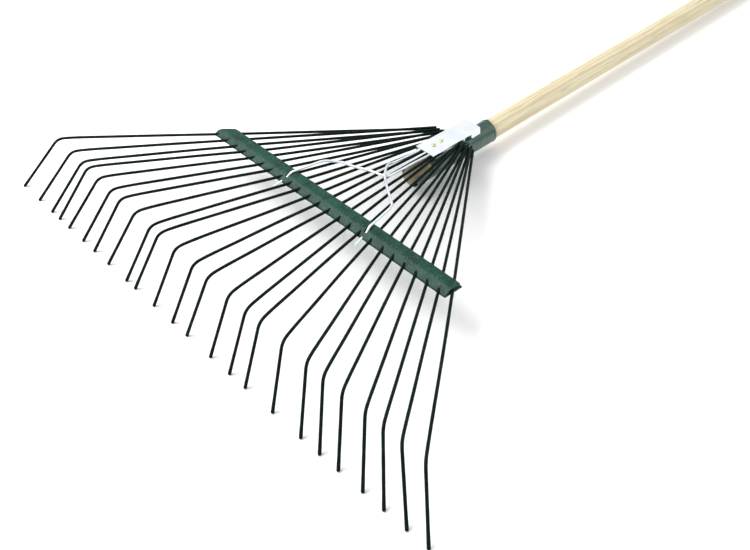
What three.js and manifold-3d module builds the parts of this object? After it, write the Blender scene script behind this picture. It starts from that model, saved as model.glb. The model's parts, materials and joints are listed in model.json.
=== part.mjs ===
// Leaf rake: a fan of spring wires on an ash pole, braced by two spring wires.
// Millimetres, +Z up, lying as it rests on a floor: the tine tips and the butt of the pole touch z = 0.
// The pole runs along +Y and the tines fan out towards -Y. The origin is under the middle of the rake.
//
// Everything is first placed about the pole: x = 0 and z = 0 on the pole's centre line, and y = 0 where the
// tines enter the crossbar. The last section lays the whole rake on the floor.

import * as THREE from 'three';
import { mergeVertices } from 'three/addons/utils/BufferGeometryUtils.js';
import Module from 'manifold-3d';

const wasm = await Module();
wasm.setup();

// ---------------------------------------------------------------- driving dimensions

const gap = 0.3; // between pieces that touch in the real rake

// pole
const poleRadius = 11.1;
const poleLength = 1219;
const poleFrontY = 86;
const poleNoseLength = 14;
const poleNoseRadius = 7.5;
const poleNoseFullness = 0.8; // how far the nose swells beyond a plain cone
const poleButtRounding = 2.5;

// socket: a rolled tube with an open trough in front and two wings under the tine roots
const socketRadius = 12.7;
const socketWall = 1.2;
const socketFrontY = 90;
const socketRearY = 203;
const troughEndY = 112;
const troughEdgeZ = 3;
const wingFrontY = 143;
const wingRearY = 160;
const wingFrontHalfWidth = 37;
const wingRearHalfWidth = 23;

// tines
const tineCount = 24;
const tineRadius = 1.5;
const tineSides = 8;
const fanApexY = 185; // where the lines of the fan would meet
const tineRootY = 152;
const tinePitch = 13.85; // where they enter the crossbar
const rootLayerStep = 2.9; // neighbours lie close at the root, one above the other
const middleRootX = 1.75; // but the two middle ones lie side by side
const crossbarWireZ = 22.3; // height of the wires where they enter the crossbar
const bendY = -161.2; // where the tips turn down, in the middle of the fan
const bendYCurve = 8.5; // the outer tines turn down further back
const bendYSkew = -2.5; // and the right-hand ones a little further forward
const bendZ = 29.7;
const bendZFall = 7.7;
const tipCurve = 3; // the same for the tips
const tipSkew = 6;
const tipLift = 0.75; // the middle of a wire's end above the floor
const droop = 2; // the wire starts to curve down a little before the corner
const droopLength = 34;
const cornerLength = 6;

// The wires are bent by hand and uneven. Left to right: the first bend, the gaps from each bend to the next,
// and how far each tip leans to the right of its bend.
const firstBendX = -303;
const bendGaps = [35, 27, 15, 26, 28, 21, 30, 30, 16, 30, 31, 24, 33, 26, 20, 32, 32, 21, 23, 27, 20, 20, 25];
const tipLeans = [
  -16, -15, -13, -11, -16, -14, -12, -14, -9, -9, -5, -4, -4, 1, 4, 7, 14, 20, 23, 23, 25, 29, 34, 32,
];

// crossbar: a strip folded over the tines, open at the back and at both ends
const barLeftX = -184.5;
const barRightX = 171;
const barRearY = -5;
const barCornerCut = 13.5; // the rear left corner is cut off along the outermost tine
const barTilt = 0.045; // it follows the slope of the wires
const barHoleRadius = 1.9;
const barHoleFromY = -13;
const barHoleToY = -29;
const barSlotWidth = 4.4;
const barSlotFromY = -10.8;
const barSlotToY = -18.2;
const barSlotHeight = 6;

// brace wires
const braceRadius = 1.25;
const braceSides = 8;
const braceRootX = 6.4;
const braceRootY = 129;
const braceRootZ = 18.9;
const braceCornerLength = 6;
const braceCorner = new THREE.Vector3(52.5, 22, 29.7);
const hookOver = new THREE.Vector3(60.5, -11.5, 27.4);
const hookThrough = new THREE.Vector3(61.8, -18, 22.4);
const braceEnd = new THREE.Vector3(63.5, -33.5, 19.6);
const hookShift = -2.8; // the crossbar sits a little to the left, and its slots with it

// The inner stretch of each brace wire. The one that ends on the left runs straight on, then turns sharply
// and passes under the one that ends on the right.
const braceInnerPlaces = {
  left: [
    [7.5, 90, 21.2],
    [8.5, 70, 22.8],
    [8.5, 58, 23.6],
    [6.5, 53.5, 23.8],
    [2, 51, 23.9],
    [-6, 49, 24],
    [-13.7, 46.9, 24.2],
    [-24.7, 41.3, 24.9],
    [-40, 34.7, 27],
  ],
  right: [
    [-6.4, 76, 22.3],
    [-4.8, 67, 25.8],
    [0, 59, 26.8],
    [11.4, 47.7, 27.5],
    [30.5, 35, 28.7],
  ],
};

// clamp plate
const clampFrontY = 110.5;
const clampRearY = 179.5;
const clampFrontHalfWidth = 13.6;
const clampRearHalfWidth = 11.4;
const clampTopZ = 21.5;
const clampThickness = 1.2;
const clampFlange = 5.2;
const clampCornerRadius = 2;
const clampLegY = 163;
const clampLeg = 8;
const notchRadius = 2;
const notchLength = 34;
const notchReach = 8; // a tine still touches the flange when it crosses its line this far in front of it
const rivetYs = [123.5, 134];
const rivetHeadRadius = 2.5;
const rivetHeadHeight = 1.1;
const rivetShankRadius = 1;
const rivetEndRadius = 1.5;
const rivetEndHeight = 0.5;

// floor: the line from the tine tips to the underside of the butt
const tipY = -193;
const tipZ = -25;
const poleButtY = poleFrontY + poleLength;
const floorSlope = (-poleRadius - tipZ) / (poleButtY - tipY);
const floorZ = (y) => tipZ + (y - tipY) * floorSlope;

// ---------------------------------------------------------------- finishes

const finishes = {
  tineEnamel: new THREE.MeshStandardMaterial({ color: 0x0b2a1f, roughness: 0.3, metalness: 0 }),
  barEnamel: new THREE.MeshStandardMaterial({ color: 0x1f6149, roughness: 0.4, metalness: 0 }),
  socketEnamel: new THREE.MeshStandardMaterial({ color: 0x0f4634, roughness: 0.3, metalness: 0 }),
  zincWire: new THREE.MeshStandardMaterial({ color: 0xd9dde2, roughness: 0.25, metalness: 1 }),
  zincPlate: new THREE.MeshStandardMaterial({ color: 0xe2e5ea, roughness: 0.3, metalness: 1 }),
  rivetSteel: new THREE.MeshStandardMaterial({ color: 0xc9c39a, roughness: 0.35, metalness: 1 }),
  ash: new THREE.MeshStandardMaterial({ color: 0xd9c79a, roughness: 0.6, metalness: 0 }),
};

const rake = new THREE.Group();

function addPiece(name, geometry, material) {
  const mesh = new THREE.Mesh(geometry, material);
  mesh.name = name;
  rake.add(mesh);
}

// ---------------------------------------------------------------- cutting and joining

function toSolid(geometry) {
  const plain = geometry.index ? geometry.toNonIndexed() : geometry.clone();
  plain.deleteAttribute('normal');
  plain.deleteAttribute('uv');
  const merged = mergeVertices(plain, 1e-4);
  const vertProperties = new Float32Array(merged.attributes.position.array);
  const triVerts = new Uint32Array(merged.index.array);
  return new wasm.Manifold(new wasm.Mesh({ numProp: 3, vertProperties, triVerts }));
}

function toGeometry(solid) {
  const mesh = solid.getMesh();
  const geometry = new THREE.BufferGeometry();
  geometry.setAttribute('position', new THREE.BufferAttribute(mesh.vertProperties, 3));
  geometry.setIndex(new THREE.BufferAttribute(mesh.triVerts, 1));
  geometry.computeVertexNormals();
  return geometry;
}

function cutAll(body, cutters) {
  return cutters.reduce((rest, cutter) => rest.subtract(toSolid(cutter)), body);
}

// ---------------------------------------------------------------- wires

// A path through chosen stations, so that a bend gets many rings and a straight stretch only two.
class StationPath extends THREE.Curve {
  constructor(stations) {
    super();
    this.stations = stations;
  }

  getPoint(t, target = new THREE.Vector3()) {
    const place = t * (this.stations.length - 1);
    const before = Math.min(Math.floor(place + 1e-6), this.stations.length - 2);
    return target.lerpVectors(this.stations[before], this.stations[before + 1], place - before);
  }

  getPointAt(t, target) {
    return this.getPoint(t, target);
  }

  getSpacedPoints(divisions) {
    return this.getPoints(divisions);
  }

  getTangentAt(t, target = new THREE.Vector3()) {
    const here = Math.round(t * (this.stations.length - 1));
    const before = this.stations[Math.max(here - 1, 0)];
    const after = this.stations[Math.min(here + 1, this.stations.length - 1)];
    return target.subVectors(after, before).normalize();
  }
}

function wireGeometry(stations, radius, sides) {
  const section = new THREE.Shape();
  for (let side = 0; side < sides; side += 1) {
    const angle = ((side + 0.5) / sides) * 2 * Math.PI;
    const move = side === 0 ? 'moveTo' : 'lineTo';
    section[move](radius * Math.cos(angle), radius * Math.sin(angle));
  }
  section.closePath();
  return new THREE.ExtrudeGeometry(section, {
    steps: stations.length - 1,
    bevelEnabled: false,
    extrudePath: new StationPath(stations),
  });
}

// The stations of a rounded corner, without its two ends.
function cornerStations(start, corner, end, count) {
  const curve = new THREE.QuadraticBezierCurve3(start, corner, end);
  return curve.getPoints(count).slice(1, -1);
}

const towards = (from, to, distance) => to.clone().sub(from).setLength(distance).add(from);
const atY = (from, to, y) => from.clone().lerp(to, (y - from.y) / (to.y - from.y));

// ---------------------------------------------------------------- tines

// Tines count from 0 on the left. fanPlace is -1 for the first, +1 for the last.
const middleTine = (tineCount - 1) / 2;
const fanPlace = (index) => (index - middleTine) / middleTine;
const crossbarX = (index) => (index - middleTine) * tinePitch;
const rootCloseness = (fanApexY - tineRootY) / fanApexY;

// Every second tine lies in the upper layer at the root, the same on the left and the right.
function isUpperTine(index) {
  const fromEdge = Math.min(index, tineCount - 1 - index);
  return fromEdge % 2 === 1;
}

function rootX(index) {
  const atBarX = crossbarX(index);
  return Math.abs(atBarX) < tinePitch ? Math.sign(atBarX) * middleRootX : atBarX * rootCloseness;
}

const tineBendXs = [firstBendX];
for (const space of bendGaps) tineBendXs.push(tineBendXs[tineBendXs.length - 1] + space);

function tineStations(index) {
  const place = fanPlace(index);
  const lowerRootZ = socketRadius + gap + tineRadius;
  const rootZ = lowerRootZ + (isUpperTine(index) ? rootLayerStep : 0);
  const root = new THREE.Vector3(rootX(index), tineRootY, rootZ);
  const atBar = new THREE.Vector3(crossbarX(index), 0, crossbarWireZ);
  const bend = new THREE.Vector3(
    tineBendXs[index],
    bendY + bendYCurve * place * place + bendYSkew * place,
    bendZ - bendZFall * place * place,
  );
  const tip = new THREE.Vector3(
    tineBendXs[index] + tipLeans[index],
    tipY + tipCurve * place * place + tipSkew * place,
    0,
  );
  tip.z = floorZ(tip.y) + tipLift;

  const straightEnd = bend.clone().setZ(bend.z + droop);
  const droopStart = towards(straightEnd, atBar, droopLength);
  const droopCorner = towards(straightEnd, atBar, droopLength / 3);
  const cornerStart = towards(bend, droopCorner, cornerLength);
  const cornerEnd = towards(bend, tip, cornerLength);
  return [
    root,
    atBar,
    droopStart,
    ...cornerStations(droopStart, droopCorner, cornerStart, 3),
    cornerStart,
    ...cornerStations(cornerStart, bend, cornerEnd, 4),
    cornerEnd,
    tip,
  ];
}

for (let index = 0; index < tineCount; index += 1) {
  const name = `tine_${String(index + 1).padStart(2, '0')}`;
  addPiece(name, wireGeometry(tineStations(index), tineRadius, tineSides), finishes.tineEnamel);
}

// ---------------------------------------------------------------- pole

function poleGeometry() {
  const noseEndY = poleFrontY + poleNoseLength;
  const profile = [
    new THREE.Vector2(0, poleFrontY),
    new THREE.Vector2(poleNoseRadius, poleFrontY),
    new THREE.Vector2((poleNoseRadius + poleRadius) / 2 + poleNoseFullness, poleFrontY + poleNoseLength / 2),
    new THREE.Vector2(poleRadius, noseEndY),
  ];
  const roundingSteps = 3;
  for (let step = 0; step <= roundingSteps; step += 1) {
    const angle = (step / roundingSteps) * (Math.PI / 2);
    profile.push(
      new THREE.Vector2(
        poleRadius - poleButtRounding * (1 - Math.cos(angle)),
        poleButtY - poleButtRounding * (1 - Math.sin(angle)),
      ),
    );
  }
  profile.push(new THREE.Vector2(0, poleButtY));
  return new THREE.LatheGeometry(profile, 32);
}

addPiece('handle', poleGeometry(), finishes.ash);

// ---------------------------------------------------------------- socket

function socketGeometry() {
  const innerRadius = socketRadius - socketWall;
  const tube = new THREE.LatheGeometry(
    [
      new THREE.Vector2(innerRadius, socketFrontY),
      new THREE.Vector2(socketRadius, socketFrontY),
      new THREE.Vector2(socketRadius, socketRearY),
      new THREE.Vector2(innerRadius, socketRearY),
      new THREE.Vector2(innerRadius, socketFrontY),
    ],
    32,
  );
  const outline = new THREE.Shape();
  outline.moveTo(-wingFrontHalfWidth, wingFrontY);
  outline.lineTo(wingFrontHalfWidth, wingFrontY);
  outline.lineTo(wingRearHalfWidth, wingRearY);
  outline.lineTo(-wingRearHalfWidth, wingRearY);
  outline.closePath();
  const wings = new THREE.ExtrudeGeometry(outline, { depth: socketWall, bevelEnabled: false });
  wings.translate(0, 0, socketRadius - socketWall);

  const troughLength = troughEndY - socketFrontY + 2;
  const troughCut = new THREE.BoxGeometry(4 * socketRadius, troughLength, 2 * socketRadius);
  troughCut.translate(0, troughEndY - troughLength / 2, troughEdgeZ + socketRadius);
  const bore = new THREE.CylinderGeometry(innerRadius, innerRadius, 2 * (socketRearY - socketFrontY), 32);
  bore.translate(0, socketFrontY, 0);
  const solid = toSolid(tube).subtract(toSolid(troughCut)).add(toSolid(wings)).subtract(toSolid(bore));
  return toGeometry(solid);
}

addPiece('socket', socketGeometry(), finishes.socketEnamel);

// ---------------------------------------------------------------- crossbar

// The section: x runs forward from the rear edge, y is the height over the middle of the wires.
function barSection() {
  const outer = [
    [0, 3.2],
    [9.4, 3.2],
    [11.4, 2.7],
    [18.6, -0.4],
    [19.3, -1.3],
    [19.1, -2.6],
    [18.2, -3.2],
    [-2.5, -3.2],
  ];
  const inner = [
    [-2.5, -2],
    [17.9, -2],
    [18.1, -1.75],
    [17.9, -1.4],
    [10.9, 1.6],
    [9.3, 2],
    [0, 2],
  ];
  return new THREE.Shape([...outer, ...inner].map(([forward, height]) => new THREE.Vector2(forward, height)));
}

// A round cutter along the line of a wire, through the front of the bar.
function frontHole(from, to) {
  const start = atY(from, to, barHoleFromY);
  const end = atY(from, to, barHoleToY);
  const axis = end.clone().sub(start);
  const cutter = new THREE.CylinderGeometry(barHoleRadius, barHoleRadius, axis.length(), 8);
  const turn = new THREE.Quaternion().setFromUnitVectors(THREE.Object3D.DEFAULT_UP, axis.normalize());
  const middle = start.add(end).multiplyScalar(0.5);
  return cutter.applyQuaternion(turn).translate(middle.x, middle.y, middle.z);
}

// Turns a section drawn forward and up into one that runs along X, tilted with the wires.
function barGeometry() {
  const bar = new THREE.ExtrudeGeometry(barSection(), { depth: barRightX - barLeftX, bevelEnabled: false });
  const forward = new THREE.Vector3(0, -1, 0);
  const up = new THREE.Vector3(0, 0, 1);
  const left = new THREE.Vector3(-1, 0, 0);
  bar.applyMatrix4(new THREE.Matrix4().makeBasis(forward, up, left));
  bar.rotateX(-barTilt);
  bar.translate(barRightX, barRearY, crossbarWireZ);

  const cornerSize = 3 * barCornerCut;
  const corner = new THREE.BoxGeometry(cornerSize, cornerSize, cornerSize);
  corner.rotateZ(Math.PI / 4);
  const cornerOffset = (cornerSize / 2) * Math.SQRT1_2;
  corner.translate(barLeftX + barCornerCut - cornerOffset, barRearY + cornerOffset, crossbarWireZ);

  const cutters = [corner];
  for (let index = 0; index < tineCount; index += 1) {
    const [, atBar, droopStart] = tineStations(index);
    cutters.push(frontHole(atBar, droopStart));
  }
  for (const side of [-1, 1]) {
    const [over, through, end] = braceHookStations(side);
    cutters.push(frontHole(through, end));
    const slot = new THREE.BoxGeometry(barSlotWidth, barSlotFromY - barSlotToY, barSlotHeight);
    const slotY = (barSlotFromY + barSlotToY) / 2;
    cutters.push(slot.translate(atY(over, through, slotY).x, slotY, crossbarWireZ + barSlotHeight / 2 + 1));
  }
  return toGeometry(cutAll(toSolid(bar), cutters));
}

addPiece('crossbar', barGeometry(), finishes.barEnamel);

// ---------------------------------------------------------------- brace wires

// Over the back of the crossbar, down through its slot and out of its front.
function braceHookStations(side) {
  return [hookOver, hookThrough, braceEnd].map((place) => place.clone().setX(side * place.x + hookShift));
}

// The inner stretch leaves the clamp beside the middle, crosses its twin and swings out to the far side.
function braceGeometry(side, innerPlaces) {
  const root = new THREE.Vector3(-side * braceRootX, braceRootY, braceRootZ);
  const corner = braceCorner.clone().setX(side * braceCorner.x);
  const inner = new THREE.CatmullRomCurve3(innerPlaces.map((place) => new THREE.Vector3(...place)));
  const innerStations = inner.getPoints(4 * (innerPlaces.length - 1));
  const lastInner = innerStations[innerStations.length - 1];
  const [over, through, end] = braceHookStations(side);
  const cornerStart = towards(corner, lastInner, braceCornerLength);
  const cornerEnd = towards(corner, over, braceCornerLength);
  return wireGeometry(
    [
      root,
      root.clone().setY(clampFrontY),
      ...innerStations,
      cornerStart,
      ...cornerStations(cornerStart, corner, cornerEnd, 4),
      cornerEnd,
      over,
      through,
      end,
    ],
    braceRadius,
    braceSides,
  );
}

addPiece('brace_wire_left', braceGeometry(-1, braceInnerPlaces.left), finishes.zincWire);
addPiece('brace_wire_right', braceGeometry(1, braceInnerPlaces.right), finishes.zincWire);

// ---------------------------------------------------------------- clamp plate and rivets

const clampHalfWidth = (y) => {
  const fromFront = (y - clampFrontY) / (clampRearY - clampFrontY);
  return THREE.MathUtils.lerp(clampFrontHalfWidth, clampRearHalfWidth, fromFront);
};

// A channel with rounded shoulders, open below.
function channelSection(halfWidth, flange) {
  const bottomZ = clampTopZ - flange;
  const shoulderX = halfWidth - clampCornerRadius;
  const shoulderZ = clampTopZ - clampCornerRadius;
  const innerRadius = clampCornerRadius - clampThickness;
  const section = new THREE.Shape();
  section.moveTo(halfWidth, bottomZ);
  section.absarc(shoulderX, shoulderZ, clampCornerRadius, 0, Math.PI / 2, false);
  section.absarc(-shoulderX, shoulderZ, clampCornerRadius, Math.PI / 2, Math.PI, false);
  section.lineTo(-halfWidth, bottomZ);
  section.lineTo(-halfWidth + clampThickness, bottomZ);
  section.absarc(-shoulderX, shoulderZ, innerRadius, Math.PI, Math.PI / 2, true);
  section.absarc(shoulderX, shoulderZ, innerRadius, Math.PI / 2, 0, true);
  section.lineTo(halfWidth - clampThickness, bottomZ);
  section.closePath();
  return section;
}

// A channel from one y to another, narrowing towards the rear as the whole clamp does.
function channelGeometry(fromY, toY, flange) {
  const section = channelSection(clampFrontHalfWidth, flange);
  const channel = new THREE.ExtrudeGeometry(section, {
    depth: toY - fromY,
    bevelEnabled: false,
    curveSegments: 3,
  });
  channel.rotateX(Math.PI / 2);
  channel.translate(0, toY, 0);
  const places = channel.attributes.position;
  for (let corner = 0; corner < places.count; corner += 1) {
    const narrowing = clampHalfWidth(places.getY(corner)) / clampFrontHalfWidth;
    places.setX(corner, places.getX(corner) * narrowing);
  }
  return channel;
}

// A notch in the flange, open below, where a tine crosses it.
function flangeNotch(index) {
  const [root, atBar] = tineStations(index);
  const side = Math.sign(atBar.x);
  let crossing = root;
  for (let pass = 0; pass < 6; pass += 1) {
    const toFlange = (side * clampHalfWidth(crossing.y) - root.x) / (atBar.x - root.x);
    crossing = root.clone().lerp(atBar, toFlange);
  }
  if (crossing.y < clampFrontY - notchReach || crossing.y > tineRootY + notchRadius) return null;
  const outline = new THREE.Shape();
  outline.moveTo(-notchRadius, -clampFlange);
  outline.lineTo(notchRadius, -clampFlange);
  outline.absarc(0, 0, notchRadius, 0, Math.PI, false);
  outline.closePath();
  const notch = new THREE.ExtrudeGeometry(outline, {
    depth: notchLength,
    bevelEnabled: false,
    curveSegments: 4,
  });
  notch.translate(0, 0, -notchLength / 2);
  notch.rotateX(Math.PI / 2);
  notch.rotateZ(Math.atan((atBar.x - root.x) / (root.y - atBar.y)));
  return notch.translate(crossing.x, crossing.y, crossing.z);
}

function clampGeometry() {
  const plate = toSolid(channelGeometry(clampFrontY, clampRearY, clampFlange));
  const rearLegs = toSolid(channelGeometry(clampLegY, clampRearY, clampLeg));
  const cutters = [];
  for (let index = 0; index < tineCount; index += 1) {
    const notch = flangeNotch(index);
    if (notch) cutters.push(notch);
  }
  for (const y of rivetYs) {
    const holeRadius = rivetShankRadius + gap;
    const hole = new THREE.CylinderGeometry(holeRadius, holeRadius, 4 * clampThickness, 12);
    hole.rotateX(Math.PI / 2);
    cutters.push(hole.translate(0, y, clampTopZ));
  }
  return toGeometry(cutAll(plate.add(rearLegs), cutters));
}

addPiece('clamp_plate', clampGeometry(), finishes.zincPlate);

// A round head on the plate, a shank through it and a flattened end below.
function rivetGeometry(y) {
  const headZ = clampTopZ + gap;
  const endZ = clampTopZ - clampThickness - gap;
  const profile = [
    new THREE.Vector2(0, endZ - rivetEndHeight),
    new THREE.Vector2(rivetEndRadius, endZ - rivetEndHeight),
    new THREE.Vector2(rivetEndRadius, endZ),
    new THREE.Vector2(rivetShankRadius, endZ),
    new THREE.Vector2(rivetShankRadius, headZ),
    new THREE.Vector2(rivetHeadRadius, headZ),
    new THREE.Vector2(rivetHeadRadius * 0.8, headZ + rivetHeadHeight * 0.7),
    new THREE.Vector2(0, headZ + rivetHeadHeight),
  ];
  const rivet = new THREE.LatheGeometry(profile, 12);
  rivet.rotateX(Math.PI / 2);
  return rivet.translate(0, y, 0);
}

addPiece('clamp_rivet_front', rivetGeometry(rivetYs[0]), finishes.rivetSteel);
addPiece('clamp_rivet_rear', rivetGeometry(rivetYs[1]), finishes.rivetSteel);

// ---------------------------------------------------------------- the rake laid on the floor

const leafRake = new THREE.Group();
leafRake.add(rake);
rake.rotation.x = -Math.atan(floorSlope);
leafRake.updateMatrixWorld(true);
const box = new THREE.Box3().setFromObject(rake, true);
const middle = box.getCenter(new THREE.Vector3());
rake.position.set(-middle.x, -middle.y, -box.min.z);
leafRake.updateMatrixWorld(true);

export default leafRake;
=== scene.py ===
"""A leaf rake on a pale floor: green spring tines, a folded crossbar, zinc brace wires and an ash pole."""

import json
import math
import random

import bmesh
import bpy
from mathutils import Matrix, Vector


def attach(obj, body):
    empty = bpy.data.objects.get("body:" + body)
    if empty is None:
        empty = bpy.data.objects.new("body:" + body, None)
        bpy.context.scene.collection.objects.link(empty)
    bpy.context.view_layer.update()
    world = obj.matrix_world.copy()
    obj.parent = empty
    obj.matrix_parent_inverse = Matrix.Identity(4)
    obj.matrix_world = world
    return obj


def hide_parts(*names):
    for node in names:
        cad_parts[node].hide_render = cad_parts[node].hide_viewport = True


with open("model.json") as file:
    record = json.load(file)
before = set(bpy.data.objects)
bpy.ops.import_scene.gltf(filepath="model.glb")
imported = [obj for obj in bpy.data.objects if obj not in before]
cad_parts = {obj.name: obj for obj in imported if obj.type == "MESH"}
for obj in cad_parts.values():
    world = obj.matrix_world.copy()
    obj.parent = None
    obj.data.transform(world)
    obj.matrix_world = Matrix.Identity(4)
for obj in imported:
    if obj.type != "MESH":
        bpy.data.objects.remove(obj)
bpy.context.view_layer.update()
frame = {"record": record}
random.seed(7)

# ---------------------------------------------------------------- driving dimensions, millimetres

MM = 0.001

POLE_RADIUS = 11.1
POLE_FRONT_Y = 86
POLE_BUTT_Y = 1305
POLE_NOSE = 14
POLE_NOSE_RADIUS = 7.5
BUTT_ROUNDING = 2.5

SOCKET_RADIUS = 12.7
SOCKET_WALL = 1.2
SOCKET_FRONT_Y = 90
SOCKET_REAR_Y = 203
TROUGH_END_Y = 112
TROUGH_EDGE_Z = 3
WING_OUTLINE = ((-37, 143), (37, 143), (23, 160), (-23, 160))

TINE_COUNT = 24
TINE_RADIUS = 1.5
TINE_BOW = 0.7
TINE_END_SWELL = 1.08
TINE_ROOT_Y = 152
FAN_APEX_Y = 185
TINE_PITCH = 13.85
ROOT_LOWER_Z = 14.5
ROOT_LAYER_STEP = 2.9
MIDDLE_ROOT_X = 1.75
WIRE_AT_BAR_Z = 22.3
FIRST_BEND_X = -303
BEND_GAPS = (35, 27, 15, 26, 28, 21, 30, 30, 16, 30, 31, 24, 33, 26, 20, 32, 32, 21, 23, 27, 20, 20, 25)
TIP_LEANS = (
    -16, -15, -13, -11, -16, -14, -12, -14, -9, -9, -5, -4, -4, 1, 4, 7, 14, 20, 23, 23, 25, 29, 34, 32,
)
BEND_Y = -161.2
BEND_Y_CURVE = 8.5
BEND_Y_SKEW = -2.5
BEND_Z = 29.7
BEND_Z_FALL = 7.7
TIP_Y = -193
TIP_CURVE = 3
TIP_SKEW = 6
DROOP = 2
DROOP_LENGTH = 34
CORNER_LENGTH = 6

BAR_LEFT_X = -184.5
BAR_RIGHT_X = 171
BAR_REAR_Y = -5
BAR_CORNER_CUT = 13.5
BAR_TILT = 0.045
BAR_SHEET = 1.2
BAR_TOP = 3.2
SLOT_WIDTH = 4.4
SLOT_LENGTH = 7.4
SLOT_MIDDLE_Y = -14.5

BRACE_RADIUS = 1.25
BRACE_ROOT = (6.4, 129, 18.9)
BRACE_CORNER = (52.5, 22, 29.7)
HOOK_OVER = (60.5, -11.5, 27.4)
HOOK_THROUGH = (61.8, -18, 22.4)
BRACE_END = (63.5, -33.5, 19.6)
HOOK_SHIFT = -2.8
HOOK_BEND = 3
HOOK_TURN = 2.5
BRACE_INNER = {
    -1: (
        (7.5, 90, 21.2),
        (8.5, 70, 22.8),
        (8.5, 58, 23.6),
        (6.5, 53.5, 23.8),
        (2, 51, 23.9),
        (-6, 49, 24),
        (-13.7, 46.9, 24.2),
        (-24.7, 41.3, 24.9),
        (-40, 34.7, 27),
    ),
    1: ((-6.4, 76, 22.3), (-4.8, 67, 25.8), (0, 59, 26.8), (11.4, 47.7, 27.5), (30.5, 35, 28.7)),
}

CLAMP_FRONT_Y = 110.5
CLAMP_REAR_Y = 179.5
CLAMP_FRONT_HALF = 13.6
CLAMP_REAR_HALF = 11.4
CLAMP_TOP_Z = 21.5
CLAMP_SHEET = 1.2
CLAMP_FLANGE = 5.2
CLAMP_CORNER = 2
CLAMP_LEG_Y = 163
CLAMP_LEG = 8
CLAMP_NOTCH_RADIUS = 2.0
CLAMP_NOTCH_HALF_LENGTH = 17
CLAMP_NOTCH_REACH = 8
RIVET_YS = (123.5, 134)
RIVET_SIDES = 28

# ---------------------------------------------------------------- from the pole's own frame to the floor's

butt = frame["record"]["mounts"][0]
ACROSS = Vector((1, 0, 0))
ALONG = Vector(butt["axis"]).normalized()
UP = ACROSS.cross(ALONG)
ORIGIN = Vector(butt["pos_m"]) - ALONG * POLE_BUTT_Y * MM


def laid(x, y, z):
    """A place given about the pole's centre line, in the frame where the rake lies on the floor."""
    return ORIGIN + (ACROSS * x + ALONG * y + UP * z) * MM


def floor_z(y):
    """The floor's height about the pole's centre line."""
    return (-ORIGIN.z / MM - ALONG.z * y) / UP.z


# ---------------------------------------------------------------- making pieces


def piece(name, mesh, material, slot, *nodes, sharp=35):
    for face in mesh.polygons:
        face.use_smooth = True
    mesh.set_sharp_from_angle(angle=math.radians(sharp))
    made = bpy.data.objects.new(name, mesh)
    bpy.context.scene.collection.objects.link(made)
    made.data.materials.clear()
    made.data.materials.append(material)
    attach(made, "root")
    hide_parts(*nodes)
    return made


def grid_mesh(name, rings, closed=True, capped=True):
    """A mesh through rings of equal length. Each ring closes on itself unless told otherwise."""
    made = bmesh.new()
    rows = [[made.verts.new(place) for place in ring] for ring in rings]
    count = len(rows[0])
    for before, after in zip(rows, rows[1:]):
        for k in range(count if closed else count - 1):
            following = (k + 1) % count
            made.faces.new((before[k], before[following], after[following], after[k]))
    if capped:
        made.faces.new(rows[0][::-1])
        made.faces.new(rows[-1])
    bmesh.ops.recalc_face_normals(made, faces=made.faces)
    mesh = bpy.data.meshes.new(name)
    made.to_mesh(mesh)
    made.free()
    return mesh


def wire_mesh(name, path, radii, sides=18):
    """A round wire along a path, with a radius at each point of it."""
    rings = []
    side = None
    for k, centre in enumerate(path):
        ahead = (path[min(k + 1, len(path) - 1)] - path[max(k - 1, 0)]).normalized()
        if side is None:
            side = ahead.cross(UP).normalized()
        side = (side - ahead * side.dot(ahead)).normalized()
        above = side.cross(ahead)
        ring = []
        for step in range(sides):
            turn = 2 * math.pi * step / sides
            ring.append(centre + (side * math.cos(turn) + above * math.sin(turn)) * radii[k] * MM)
        rings.append(ring)
    return grid_mesh(name, rings)


def rounded_end(path, radii, swell, steps=6):
    """Adds a rounded blob after the last point of a path."""
    ahead = (path[-1] - path[-2]).normalized()
    radius = radii[-1] * swell
    base = path[-1].copy()
    for step in range(1, steps + 1):
        turn = math.pi / 2 * step / steps
        path.append(base + ahead * radius * MM * math.sin(turn))
        radii.append(max(radius * math.cos(turn), 0.05))


def resampled(points, spacing):
    """Points at an even spacing along a polyline, in metres."""
    path = [points[0].copy()]
    for start, end in zip(points, points[1:]):
        length = (end - start).length
        count = max(1, round(length / spacing))
        path += [start.lerp(end, (k + 1) / count) for k in range(count)]
    return path


def bezier(start, corner, end, count):
    """Points inside a rounded corner."""
    places = []
    for k in range(1, count):
        t = k / count
        places.append(start * (1 - t) ** 2 + corner * 2 * t * (1 - t) + end * t**2)
    return places


def towards(start, end, distance):
    return start + (end - start).normalized() * distance * MM


def cut(mesh, cutters):
    """The mesh with the cutters' shapes taken out of it."""
    body = bpy.data.objects.new("cutting", mesh)
    bpy.context.scene.collection.objects.link(body)
    joined = bmesh.new()
    for cutter in cutters:
        joined.from_mesh(cutter)
    cutter_mesh = bpy.data.meshes.new("cutters")
    joined.to_mesh(cutter_mesh)
    joined.free()
    tool = bpy.data.objects.new("cutters", cutter_mesh)
    bpy.context.scene.collection.objects.link(tool)
    change = body.modifiers.new("cut", "BOOLEAN")
    change.operation = "DIFFERENCE"
    change.solver = "EXACT"
    change.use_self = True
    change.object = tool
    depsgraph = bpy.context.evaluated_depsgraph_get()
    result = bpy.data.meshes.new_from_object(body.evaluated_get(depsgraph))
    bpy.data.objects.remove(body)
    bpy.data.objects.remove(tool)
    return result


def box_mesh(centre, size_x, size_y, size_z):
    """An upright box, placed about the pole's centre line."""
    rings = []
    for z in (-size_z / 2, size_z / 2):
        ring = []
        for x, y in ((-1, -1), (1, -1), (1, 1), (-1, 1)):
            ring.append(laid(centre[0] + x * size_x / 2, centre[1] + y * size_y / 2, centre[2] + z))
        rings.append(ring)
    return grid_mesh("box", rings)


# ---------------------------------------------------------------- materials


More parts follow.
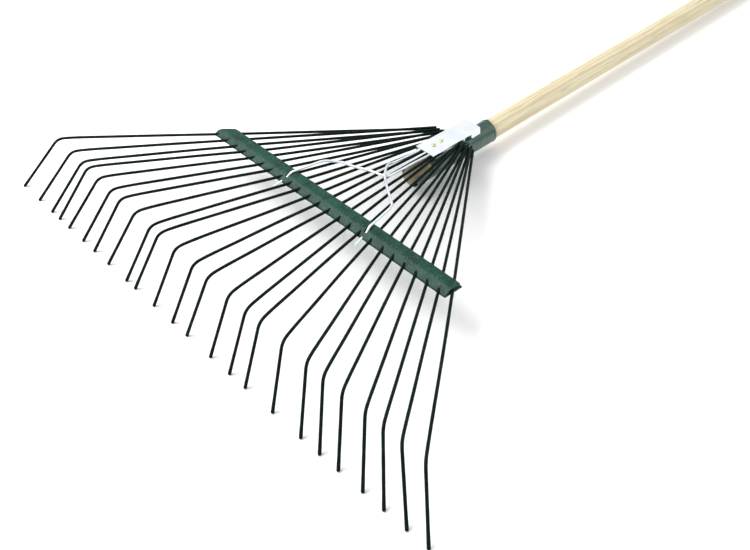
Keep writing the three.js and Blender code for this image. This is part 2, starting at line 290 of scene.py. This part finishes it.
class Nodes:
    """Short names for building a material's nodes."""

    def __init__(self, name):
        self.material = bpy.data.materials.new(name)
        self.material.use_nodes = True
        self.tree = self.material.node_tree
        self.shader = self.tree.nodes["Principled BSDF"]

    def add(self, kind, inputs=None, **settings):
        node = self.tree.nodes.new(kind)
        for key, value in settings.items():
            setattr(node, key, value)
        for key, value in (inputs or {}).items():
            self.put(node.inputs[key], value)
        return node

    def put(self, socket, value):
        if isinstance(value, bpy.types.NodeSocket):
            self.tree.links.new(value, socket)
        else:
            socket.default_value = value

    def place(self, scale=(1, 1, 1)):
        source = self.add("ShaderNodeTexCoord").outputs["Object"]
        return self.add("ShaderNodeMapping", {"Vector": source, "Scale": scale}).outputs["Vector"]

    def noise(self, scale, detail=4, roughness=0.6, stretch=(1, 1, 1)):
        inputs = {"Vector": self.place(stretch), "Scale": scale, "Detail": detail, "Roughness": roughness}
        return self.add("ShaderNodeTexNoise", inputs).outputs["Fac"]

    def spread(self, value, low, high, start=0.0, end=1.0):
        inputs = {"Value": value, "From Min": low, "From Max": high, "To Min": start, "To Max": end}
        return self.add("ShaderNodeMapRange", inputs, clamp=True).outputs["Result"]

    def mix(self, share, first, second):
        node = self.add("ShaderNodeMix", data_type="RGBA")
        self.put(node.inputs[0], share)
        self.put(node.inputs[6], first)
        self.put(node.inputs[7], second)
        return node.outputs[2]

    def sum(self, first, second, operation="ADD"):
        node = self.add("ShaderNodeMath", operation=operation)
        self.put(node.inputs[0], first)
        self.put(node.inputs[1], second)
        return node.outputs[0]

    def bump(self, height, distance, strength=1.0, normal=None):
        inputs = {"Height": height, "Distance": distance, "Strength": strength}
        node = self.add("ShaderNodeBump", inputs)
        if normal is not None:
            self.put(node.inputs["Normal"], normal)
        return node.outputs["Normal"]


def colour(red, green, blue):
    """A colour given as it shows on a screen, 0 to 255."""
    linear = []
    for shown in (red, green, blue):
        if shown <= 10:
            linear.append(shown / 255 / 12.92)
        else:
            linear.append(((shown / 255 + 0.055) / 1.055) ** 2.4)
    return (*linear, 1)


def enamel(name, base, shade, glint, gloss, grain, lumps, lump_height, shine, coat):
    """Green enamel: cloudy colour, tiny pale specks painted in as glints of light, and a slightly lumpy
    surface.
    """
    made = Nodes(name)
    cloud = made.spread(made.noise(90, 3), 0.35, 0.65)
    mottled = made.mix(cloud, base, shade)
    # Painted highlights: pale specks mixed into the base colour stand for glints of light on the enamel.
    glints = made.spread(made.noise(grain, 2, 0.5), 0.62, 0.72)
    made.put(made.shader.inputs["Base Color"], made.mix(made.sum(glints, 0.55, "MULTIPLY"), mottled, glint))
    rough = made.spread(made.noise(400, 3), 0.3, 0.7, gloss, gloss + 0.16)
    made.put(made.shader.inputs["Roughness"], rough)
    fine = made.bump(made.noise(grain * 0.8, 3), 0.0002, 0.5)
    coarse = made.bump(made.noise(lumps, 2), lump_height, 0.8, fine)
    made.put(made.shader.inputs["Normal"], coarse)
    made.put(made.shader.inputs["Specular IOR Level"], shine)
    made.put(made.shader.inputs["Coat Weight"], coat)
    made.put(made.shader.inputs["Coat Roughness"], 0.12)
    return made.material


def zinc(name, base, tint, warm, rough):
    """Bright zinc: nearly white, with faint bluish and straw-coloured clouds and fine drawing scratches."""
    made = Nodes(name)
    clouds = made.spread(made.noise(60, 3), 0.35, 0.7)
    straw = made.spread(made.noise(38, 2), 0.58, 0.75)
    blued = made.mix(clouds, base, tint)
    made.put(made.shader.inputs["Base Color"], made.mix(made.sum(straw, 0.5, "MULTIPLY"), blued, warm))
    made.put(made.shader.inputs["Metallic"], 0.72)
    scratches = made.noise(300, 4, 0.7, (6, 0.6, 6))
    made.put(made.shader.inputs["Roughness"], made.spread(scratches, 0.3, 0.7, rough, rough + 0.2))
    made.put(made.shader.inputs["Normal"], made.bump(scratches, 0.0001, 0.25))
    return made.material


def ash(name):
    """Pale ash: long fibres, broad growth bands, short dark pores, and painted shade at the nose, under the
    clamp and tines, and where the pole leaves the socket.
    """
    made = Nodes(name)
    bands = made.add(
        "ShaderNodeTexWave",
        {
            "Vector": made.place((1, 0.035, 1)),
            "Scale": 70,
            "Distortion": 5,
            "Detail": 3,
            "Detail Scale": 1.6,
            "Detail Roughness": 0.6,
        },
        wave_type="BANDS",
        bands_direction="X",
    ).outputs["Fac"]
    fibres = made.noise(700, 5, 0.65, (1, 0.02, 1))
    pores = made.spread(made.noise(900, 2, 0.5, (1, 0.03, 1)), 0.62, 0.7)
    pale = made.mix(made.spread(bands, 0.1, 0.9), colour(216, 208, 178), colour(200, 186, 150))
    streaked = made.mix(made.spread(fibres, 0.4, 0.7, 0, 0.6), pale, colour(176, 158, 122))
    grained = made.mix(made.sum(pores, 0.55, "MULTIPLY"), streaked, colour(140, 120, 86))
    along = made.add("ShaderNodeSeparateXYZ", {"Vector": made.place()}).outputs["Y"]
    nose_end = laid(0, TROUGH_END_Y, 0).y
    ferrule_end = laid(0, SOCKET_REAR_Y, 0).y
    # Painted shade: the wood darkens to brown towards the nose, where it lies in the trough under the clamp
    # plate and the tines. It also darkens in a band where it leaves the socket's rear rim.
    nose_shade = made.spread(along, nose_end - 8 * MM, nose_end + 4 * MM, 0.75, 0)
    rim_shade = made.spread(along, ferrule_end, ferrule_end + 7 * MM, 0.4, 0)
    front_rim = made.spread(along, ferrule_end - 6 * MM, ferrule_end)
    painted_shade = made.sum(nose_shade, made.sum(rim_shade, front_rim, "MULTIPLY"))
    made.put(made.shader.inputs["Base Color"], made.mix(painted_shade, grained, colour(88, 78, 48)))
    made.put(made.shader.inputs["Roughness"], made.spread(fibres, 0.3, 0.7, 0.42, 0.62))
    height = made.sum(fibres, made.sum(pores, 0.6, "MULTIPLY"), "SUBTRACT")
    made.put(made.shader.inputs["Normal"], made.bump(height, 0.0002, 0.5))
    made.put(made.shader.inputs["Coat Weight"], 0.15)
    made.put(made.shader.inputs["Coat Roughness"], 0.3)
    return made.material


tine_enamel = enamel(
    "tine_enamel",
    base=colour(6, 22, 17),
    shade=colour(3, 14, 11),
    glint=colour(60, 100, 86),
    gloss=0.36,
    grain=1500,
    lumps=500,
    lump_height=0.0003,
    shine=0.07,
    coat=0,
)
bar_enamel = enamel(
    "bar_enamel",
    base=colour(18, 66, 53),
    shade=colour(9, 44, 35),
    glint=colour(104, 146, 130),
    gloss=0.38,
    grain=900,
    lumps=260,
    lump_height=0.0007,
    shine=0.18,
    coat=0.03,
)
socket_enamel = enamel(
    "socket_enamel",
    base=colour(16, 72, 56),
    shade=colour(8, 48, 38),
    glint=colour(120, 170, 152),
    gloss=0.16,
    grain=1000,
    lumps=150,
    lump_height=0.0012,
    shine=0.5,
    coat=0.6,
)
zinc_wire = zinc("zinc_wire", colour(232, 238, 244), colour(214, 224, 236), colour(232, 226, 200), 0.26)
zinc_plate = zinc("zinc_plate", colour(240, 244, 248), colour(222, 230, 242), colour(236, 230, 208), 0.3)
rivet_steel = zinc("rivet_steel", colour(214, 206, 150), colour(196, 186, 130), colour(150, 130, 70), 0.3)
ash_wood = ash("ash_wood")

# ---------------------------------------------------------------- tines

middle_tine = (TINE_COUNT - 1) / 2
bend_xs = [FIRST_BEND_X]
for space in BEND_GAPS:
    bend_xs.append(bend_xs[-1] + space)


def tine_points(index):
    """The root, the crossbar, the start of the droop, the bend and the tip of a tine."""
    place = (index - middle_tine) / middle_tine
    at_bar_x = (index - middle_tine) * TINE_PITCH
    layer = min(index, TINE_COUNT - 1 - index) % 2
    root_x = at_bar_x * (FAN_APEX_Y - TINE_ROOT_Y) / FAN_APEX_Y
    if abs(at_bar_x) < TINE_PITCH:
        root_x = math.copysign(MIDDLE_ROOT_X, at_bar_x)
    root = laid(root_x, TINE_ROOT_Y, ROOT_LOWER_Z + layer * ROOT_LAYER_STEP)
    at_bar = laid(at_bar_x, 0, WIRE_AT_BAR_Z)
    bend_y = BEND_Y + BEND_Y_CURVE * place**2 + BEND_Y_SKEW * place
    bend_z = BEND_Z - BEND_Z_FALL * place**2
    tip_y = TIP_Y + TIP_CURVE * place**2 + TIP_SKEW * place
    bend = laid(bend_xs[index], bend_y, bend_z)
    above_bend = laid(bend_xs[index], bend_y, bend_z + DROOP)
    tip = laid(bend_xs[index] + TIP_LEANS[index], tip_y, floor_z(tip_y) + 0.9 * TINE_RADIUS)
    return root, at_bar, above_bend, bend, tip


def tine_path(index):
    """A tine's middle line: nearly straight to the droop, then round the bend to the tip."""
    root, at_bar, above_bend, bend, tip = tine_points(index)
    droop_start = towards(above_bend, at_bar, DROOP_LENGTH)
    droop_corner = towards(above_bend, at_bar, DROOP_LENGTH / 3)
    corner_start = towards(bend, droop_corner, CORNER_LENGTH)
    corner_end = towards(bend, tip, CORNER_LENGTH)
    straight = resampled([root, at_bar, droop_start], 0.008)
    bow = random.uniform(-TINE_BOW, TINE_BOW) * MM
    free_length = (droop_start - at_bar).length
    for point in straight:
        along = max((point - at_bar).dot(droop_start - at_bar) / free_length**2, 0)
        point += ACROSS * bow * math.sin(math.pi * along) ** 2
    path = straight
    path += bezier(droop_start, droop_corner, corner_start, 8)
    path.append(corner_start)
    path += bezier(corner_start, bend, corner_end, 8)
    path += resampled([corner_end, tip], 0.006)
    return path


for index in range(TINE_COUNT):
    path = tine_path(index)
    radii = [TINE_RADIUS * (1 + random.uniform(-0.03, 0.03)) for _ in path]
    radii[-1] = radii[-2] = TINE_RADIUS * TINE_END_SWELL
    rounded_end(path, radii, 1.04)
    name = f"tine_{index + 1:02d}"
    piece(f"{name}_wire", wire_mesh(name, path, radii, 16), tine_enamel, "tine_enamel", name)

# ---------------------------------------------------------------- handle


def lathe(name, profile, sides, wobble=0.0):
    """A round piece about the pole's centre line. The profile holds (y, radius) pairs."""
    rings = []
    for y, radius in profile:
        ring = []
        for step in range(sides):
            turn = 2 * math.pi * step / sides
            wave = 1 + wobble * math.sin(2 * turn + y / 90) * math.sin(y / 140)
            ring.append(laid(radius * wave * math.cos(turn), y, radius * wave * math.sin(turn)))
        rings.append(ring)
    return grid_mesh(name, rings)


pole_profile = [(POLE_FRONT_Y, 0.3), (POLE_FRONT_Y, POLE_NOSE_RADIUS * 0.9)]
nose_steps = 8
for k in range(nose_steps + 1):
    swell = math.sin(math.pi / 2 * k / nose_steps)
    radius = POLE_NOSE_RADIUS + (POLE_RADIUS - POLE_NOSE_RADIUS) * swell
    pole_profile.append((POLE_FRONT_Y + 0.5 + (POLE_NOSE - 0.5) * k / nose_steps, radius))
shank_rings = 60
shank_start = POLE_FRONT_Y + POLE_NOSE
shank_end = POLE_BUTT_Y - BUTT_ROUNDING
for k in range(1, shank_rings):
    pole_profile.append((shank_start + (shank_end - shank_start) * k / shank_rings, POLE_RADIUS))
for k in range(9):
    turn = math.pi / 2 * k / 8
    pole_profile.append(
        (shank_end + BUTT_ROUNDING * math.sin(turn), POLE_RADIUS - BUTT_ROUNDING * (1 - math.cos(turn)))
    )
pole_profile.append((POLE_BUTT_Y, 0.3))
piece("handle_pole", lathe("handle", pole_profile, 48, 0.004), ash_wood, "ash_wood", "handle")

# ---------------------------------------------------------------- socket


def socket_mesh():
    """Rolled sheet: a tube with its seam on top, opening into a trough in front, with a beaded rear rim."""
    overlap = math.radians(20)
    edge = math.asin(TROUGH_EDGE_Z / SOCKET_RADIUS)
    trough_start = math.pi - edge
    trough_sweep = math.pi + 2 * edge
    tube_start = math.pi / 2 - overlap / 2
    tube_sweep = 2 * math.pi + overlap
    rings = []
    around = 72
    ys = [SOCKET_FRONT_Y + k * 1.5 for k in range(13)]
    ys += [TROUGH_END_Y - 1.6 + k * 0.5 for k in range(8)]
    ys += [TROUGH_END_Y + 3 + k * (SOCKET_REAR_Y - 4 - TROUGH_END_Y - 3) / 24 for k in range(25)]
    ys += [SOCKET_REAR_Y - 3 + k * 0.5 for k in range(7)]
    for y in ys:
        opening = min(max((y - TROUGH_END_Y + 1.2) / 2.4, 0), 1)
        opening = opening * opening * (3 - 2 * opening)
        start = trough_start - (trough_start - tube_start) * opening
        sweep = trough_sweep + (tube_sweep - trough_sweep) * opening
        bead = 0.35 * math.exp(-(((y - SOCKET_REAR_Y + 1.4) / 0.9) ** 2))
        outer = []
        inner = []
        for k in range(around + 1):
            share = k / around
            turn = start + sweep * share
            lift = SOCKET_WALL * 0.85 * opening * min(max((share - 0.93) / 0.035, 0), 1)
            dent = 0.12 * math.sin(3 * turn + y / 17) * math.sin(y / 23)
            radius = SOCKET_RADIUS + bead + lift + dent
            outer.append(laid(radius * math.cos(turn), y, radius * math.sin(turn)))
            radius -= SOCKET_WALL
            inner.append(laid(radius * math.cos(turn), y, radius * math.sin(turn)))
        rings.append(outer + inner[::-1])
    return grid_mesh("socket", rings)


piece("socket_tube", socket_mesh(), socket_enamel, "socket_enamel", "socket", sharp=50)


def wing_mesh():
    """The flat wings under the tine roots, with rounded corners and their top and bottom faces drawn slightly
    narrower at the sides.
    """
    outline = []
    corners = [Vector((x, y)) for x, y in WING_OUTLINE]
    rounding = 3.0
    for k, corner in enumerate(corners):
        before = corners[k - 1]
        after = corners[(k + 1) % len(corners)]
        start = corner + (before - corner).normalized() * rounding
        end = corner + (after - corner).normalized() * rounding
        following = after + (corner - after).normalized() * rounding
        outline.append(start)
        outline += bezier(start, corner, end, 5)
        outline += [end.lerp(following, step / 12) for step in range(12)]
    rings = []
    for height in (-SOCKET_WALL, -SOCKET_WALL + 0.25, -0.25, 0):
        inset = 0.2 if height in (-SOCKET_WALL, 0) else 0
        ring = []
        for corner in outline:
            shrunk = 1 - inset / max(corner.x**2 + 1, 400) ** 0.5
            ring.append(laid(corner.x * shrunk, corner.y, SOCKET_RADIUS + height))
        rings.append(ring)
    return grid_mesh("wings", rings)


piece("socket_wings", wing_mesh(), socket_enamel, "socket_enamel", "socket")

# ---------------------------------------------------------------- crossbar


def rounded_profile(corners, rounding, steps=4):
    """An open polyline with its inner corners rounded."""
    points = [Vector(corners[0])]
    for before, corner, after in zip(corners, corners[1:], corners[2:]):
        before, corner, after = Vector(before), Vector(corner), Vector(after)
        start = corner + (before - corner).normalized() * min(rounding, (before - corner).length * 0.45)
        end = corner + (after - corner).normalized() * min(rounding, (after - corner).length * 0.45)
        points.append(start)
        points += bezier(start, corner, end, steps)
        points.append(end)
    points.append(Vector(corners[-1]))
    return points


def thickened(centre, thickness):
    """The closed outline of a sheet whose middle runs along the points."""
    left = []
    right = []
    for k, point in enumerate(centre):
        ahead = (centre[min(k + 1, len(centre) - 1)] - centre[max(k - 1, 0)]).normalized()
        across = Vector((-ahead.y, ahead.x)) * thickness / 2
        left.append(point + across)
        right.append(point - across)
    return left + right[::-1]


def bar_mesh():
    """The folded strip: a flat top, a sloping front lip and a flat underside.

    The tines run straight through the lip, which has no holes cut in it here.
    """
    middle = [
        (0, BAR_TOP - 0.6),
        (9.6, BAR_TOP - 0.6),
        (11.3, 2.1),
        (18.2, -0.9),
        (18.8, -1.9),
        (18, -2.6),
        (-2.5, -2.6),
    ]
    dense = []
    rounded = rounded_profile(middle, 1.2)
    for start, end in zip(rounded, rounded[1:]):
        count = max(1, round((end - start).length / 1.6))
        dense += [start.lerp(end, k / count) for k in range(count)]
    dense.append(rounded[-1])
    section = thickened(dense, BAR_SHEET)
    tilt = Matrix.Rotation(BAR_TILT, 2)
    stations = 220
    exits = []
    for index in range(TINE_COUNT):
        _, at_bar, above_bend, _, _ = tine_points(index)
        slope = (above_bend - at_bar).dot(ACROSS) / -(above_bend - at_bar).dot(ALONG)
        exits.append(((index - middle_tine) * TINE_PITCH, slope))
    rings = []
    for station in range(stations + 1):
        share = station / stations
        ring = []
        for point in section:
            forward, height = point
            cut_back = BAR_CORNER_CUT * (1 - min(max(forward, 0) / BAR_CORNER_CUT, 1))
            left_x = BAR_LEFT_X + cut_back
            x = left_x + (BAR_RIGHT_X - left_x) * share
            pinch = 0.0
            for at_bar_x, slope in exits:
                away = x - at_bar_x - slope * (forward - BAR_REAR_Y)
                pinch += math.exp(-((away / 2.8) ** 2))
            lip = min(max((forward - 12) / 5, 0), 1)
            rear = min(max((4 - forward) / 4, 0), 1) if height > 0 else 0
            forward += 0.55 * lip * (pinch - 0.4)
            height += 0.35 * rear * (pinch - 0.6) + 0.3 * lip * (pinch - 0.4)
            turned = tilt @ Vector((forward, height))
            ring.append(laid(x, BAR_REAR_Y - turned.x, WIRE_AT_BAR_Z + turned.y))
        rings.append(ring)
    return grid_mesh("crossbar", rings)


def hook_points(side):
    """The brace wire's outer end: over the crossbar, down through its slot and out under its lip."""
    return [laid(side * x + HOOK_SHIFT, y, z) for x, y, z in (HOOK_OVER, HOOK_THROUGH, BRACE_END)]


def slot_cutter(side):
    """The slot in the top of the crossbar that a brace wire hooks down through."""
    x = side * (HOOK_OVER[0] + HOOK_THROUGH[0]) / 2 + HOOK_SHIFT
    return box_mesh((x, SLOT_MIDDLE_Y, WIRE_AT_BAR_Z + 5), SLOT_WIDTH, SLOT_LENGTH, 7)


slotted_bar = cut(bar_mesh(), [slot_cutter(-1), slot_cutter(1)])
piece("crossbar_strip", slotted_bar, bar_enamel, "bar_enamel", "crossbar", sharp=45)

# ---------------------------------------------------------------- brace wires


def catmull_rom(points, count):
    """A smooth curve through points, count steps between each two."""
    ends = [points[0] * 2 - points[1]] + points + [points[-1] * 2 - points[-2]]
    path = []
    for a, b, c, d in zip(ends, ends[1:], ends[2:], ends[3:]):
        for k in range(count):
            t = k / count
            square = (a * 2 - b * 5 + c * 4 - d) * t**2
            cube = (b * 3 - a - c * 3 + d) * t**3
            path.append((b * 2 + (c - a) * t + square + cube) / 2)
    path.append(points[-1])
    return path


def brace_path(side):
    """A brace wire's middle line: out of the clamp, past its twin, round its corner and into the crossbar."""
    root_x, root_y, root_z = BRACE_ROOT
    corner = laid(side * BRACE_CORNER[0], BRACE_CORNER[1], BRACE_CORNER[2])
    over, through, end = hook_points(side)
    root_end = laid(-side * root_x, CLAMP_FRONT_Y, root_z)
    inner_places = [laid(*place) for place in BRACE_INNER[side]]
    inner = catmull_rom([laid(-side * root_x, root_y, root_z), root_end] + inner_places, 8)
    corner_start = towards(corner, inner[-1], CORNER_LENGTH)
    corner_end = towards(corner, over, CORNER_LENGTH)
    over_start = towards(over, corner, HOOK_BEND)
    over_end = towards(over, through, HOOK_BEND)
    through_start = towards(through, over, HOOK_TURN)
    through_end = towards(through, end, HOOK_TURN)
    path = inner + [inner[-1].lerp(corner_start, 0.5), corner_start]
    path += bezier(corner_start, corner, corner_end, 8)
    path += resampled([corner_end, over_start], 0.006)
    path += bezier(over_start, over, over_end, 6) + [over_end]
    path += [through_start] + bezier(through_start, through, through_end, 6)
    path += resampled([through_end, end], 0.004)
    return path


for side, name in ((-1, "brace_wire_left"), (1, "brace_wire_right")):
    path = brace_path(side)
    radii = [BRACE_RADIUS * (1 + random.uniform(-0.01, 0.01)) for _ in path]
    path.append(path[-1] + (path[-1] - path[-2]).normalized() * 0.3 * MM)
    radii.append(BRACE_RADIUS * 0.8)
    piece(f"{name}_wire", wire_mesh(name, path, radii, 20), zinc_wire, "zinc_wire", name)

# ---------------------------------------------------------------- clamp plate and rivets


def clamp_half_width(y):
    share = (y - CLAMP_FRONT_Y) / (CLAMP_REAR_Y - CLAMP_FRONT_Y)
    return CLAMP_FRONT_HALF + (CLAMP_REAR_HALF - CLAMP_FRONT_HALF) * share


def clamp_mesh():
    """A channel with rounded shoulders, narrowing to the rear. Its rear legs reach down behind the roots."""
    rings = []
    steps = 46
    for k in range(steps + 1):
        y = CLAMP_FRONT_Y + (CLAMP_REAR_Y - CLAMP_FRONT_Y) * k / steps
        half = clamp_half_width(y) - CLAMP_SHEET / 2
        leg_share = min(max((y - CLAMP_LEG_Y + 1) / 2, 0), 1)
        leg = CLAMP_FLANGE + (CLAMP_LEG - CLAMP_FLANGE) * leg_share - CLAMP_SHEET / 2
        top = CLAMP_TOP_Z - CLAMP_SHEET / 2
        radius = CLAMP_CORNER - CLAMP_SHEET / 2
        centre = [Vector((half, top - leg + j * (leg - radius) / 5)) for j in range(5)]
        for j in range(9):
            turn = math.pi / 2 * j / 8
            centre.append(
                Vector((half - radius + radius * math.cos(turn), top - radius + radius * math.sin(turn)))
            )
        mirrored = [Vector((-point.x, point.y)) for point in centre[::-1]]
        flat = [centre[-1].lerp(mirrored[0], j / 10) for j in range(1, 10)]
        section = thickened(centre + flat + mirrored, CLAMP_SHEET)
        rings.append([laid(point.x, y, point.y) for point in section])
    return grid_mesh("clamp", rings)


def round_bar_mesh(start, end, radius, sides=20):
    return wire_mesh("cutter", [start, end], [radius, radius], sides)


clamp_cutters = []
for index in range(TINE_COUNT):
    root, at_bar, _, _, _ = tine_points(index)
    crossing_share = None
    for step in range(400):
        share = step / 400 * 0.4
        place = root.lerp(at_bar, share)
        y = TINE_ROOT_Y * (1 - share)
        if abs((place - ORIGIN).dot(ACROSS)) / MM >= clamp_half_width(y):
            crossing_share = share
            break
    if crossing_share is None:
        continue
    if TINE_ROOT_Y * (1 - crossing_share) < CLAMP_FRONT_Y - CLAMP_NOTCH_REACH:
        continue
    middle = root.lerp(at_bar, crossing_share)
    ahead = (at_bar - root).normalized()
    start = middle - ahead * CLAMP_NOTCH_HALF_LENGTH * MM
    end = middle + ahead * CLAMP_NOTCH_HALF_LENGTH * MM
    clamp_cutters.append(round_bar_mesh(start, end, CLAMP_NOTCH_RADIUS))
notched_clamp = cut(clamp_mesh(), clamp_cutters)
piece("clamp_plate_sheet", notched_clamp, zinc_plate, "zinc_plate", "clamp_plate", sharp=40)

def rivet_mesh(name, rivet_y):
    """A flattened end under the plate, a shank through it and a round head on top. (height, radius) pairs."""
    profile = [(-2.2, 0.2), (-2.2, 1.4), (-1.7, 1.5), (-1.5, 1.0), (0.2, 1.0), (0.2, 2.4), (0.35, 2.5)]
    for step in range(1, 8):
        turn = step * math.pi / 16
        profile.append((0.35 + 1.0 * math.sin(turn), 2.5 * math.cos(turn)))
    profile.append((1.36, 0.1))
    rings = []
    for height, radius in profile:
        ring = []
        for k in range(RIVET_SIDES):
            turn = 2 * math.pi * k / RIVET_SIDES
            across = radius * math.cos(turn)
            along = radius * math.sin(turn)
            ring.append(laid(across, rivet_y + along, CLAMP_TOP_Z + height))
        rings.append(ring)
    return grid_mesh(name, rings)


for rivet_y, name in zip(RIVET_YS, ("clamp_rivet_front", "clamp_rivet_rear")):
    piece(f"{name}_head", rivet_mesh(name, rivet_y), rivet_steel, "rivet_steel", name)

# ---------------------------------------------------------------- floor, light and camera

FLOOR_HALF = 12  # metres
WORLD_LIGHT = 0.8
KEY_WATTS = 60
FILL_WATTS = 16
CAMERA_PLACE = (640.86, -450.06, 629.29)  # about the pole, as are the two directions of the camera
CAMERA_RIGHT = (0.65034, 0.75633, -0.0709)
CAMERA_BACKWARD = (0.59103, -0.44514, 0.67271)
LENS = 48.75

floor_material = Nodes("floor")
floor_tone = floor_material.spread(floor_material.noise(3, 3), 0.3, 0.7)
floor_material.put(
    floor_material.shader.inputs["Base Color"],
    floor_material.mix(floor_tone, (0.9, 0.9, 0.9, 1), (0.93, 0.93, 0.93, 1)),
)
floor_material.put(floor_material.shader.inputs["Roughness"], 0.7)
floor_mesh = grid_mesh(
    "floor",
    [[Vector((x, y, 0)) for x in (-FLOOR_HALF, FLOOR_HALF)] for y in (-FLOOR_HALF, FLOOR_HALF)],
    closed=False,
    capped=False,
)
floor = bpy.data.objects.new("floor", floor_mesh)
floor.data.materials.append(floor_material.material)
bpy.context.scene.collection.objects.link(floor)

world = bpy.data.worlds.new("studio")
world.use_nodes = True
world.node_tree.nodes["Background"].inputs["Color"].default_value = (1, 1, 1, 1)
world.node_tree.nodes["Background"].inputs["Strength"].default_value = WORLD_LIGHT
bpy.context.scene.world = world


def area_light(name, place, target, size, power):
    lamp = bpy.data.lights.new(name, "AREA")
    lamp.shape = "SQUARE"
    lamp.size = size
    lamp.energy = power
    made = bpy.data.objects.new(name, lamp)
    made.location = place
    made.rotation_euler = (Vector(target) - Vector(place)).to_track_quat("-Z", "Y").to_euler()
    bpy.context.scene.collection.objects.link(made)


head_middle = laid(0, 0, 0)
area_light("key_light", head_middle + Vector((-1.2, -0.6, 2.0)), head_middle, 1.6, KEY_WATTS)
area_light("fill_light", head_middle + Vector((1.6, 0.9, 1.8)), head_middle, 2.4, FILL_WATTS)

camera = bpy.data.cameras.new("camera")
camera.sensor_width = 36
camera.lens = LENS
camera.clip_end = 50
eye = bpy.data.objects.new("camera", camera)
bpy.context.scene.collection.objects.link(eye)


def direction(across, along, up):
    return (ACROSS * across + ALONG * along + UP * up).normalized()


right = direction(*CAMERA_RIGHT)
backward = direction(*CAMERA_BACKWARD)
upward = backward.cross(right).normalized()
right = upward.cross(backward)
turned = Matrix((right, upward, backward)).transposed().to_4x4()
eye.matrix_world = Matrix.Translation(laid(*CAMERA_PLACE)) @ turned
bpy.context.scene.camera = eye
bpy.context.scene.view_settings.view_transform = "Standard"
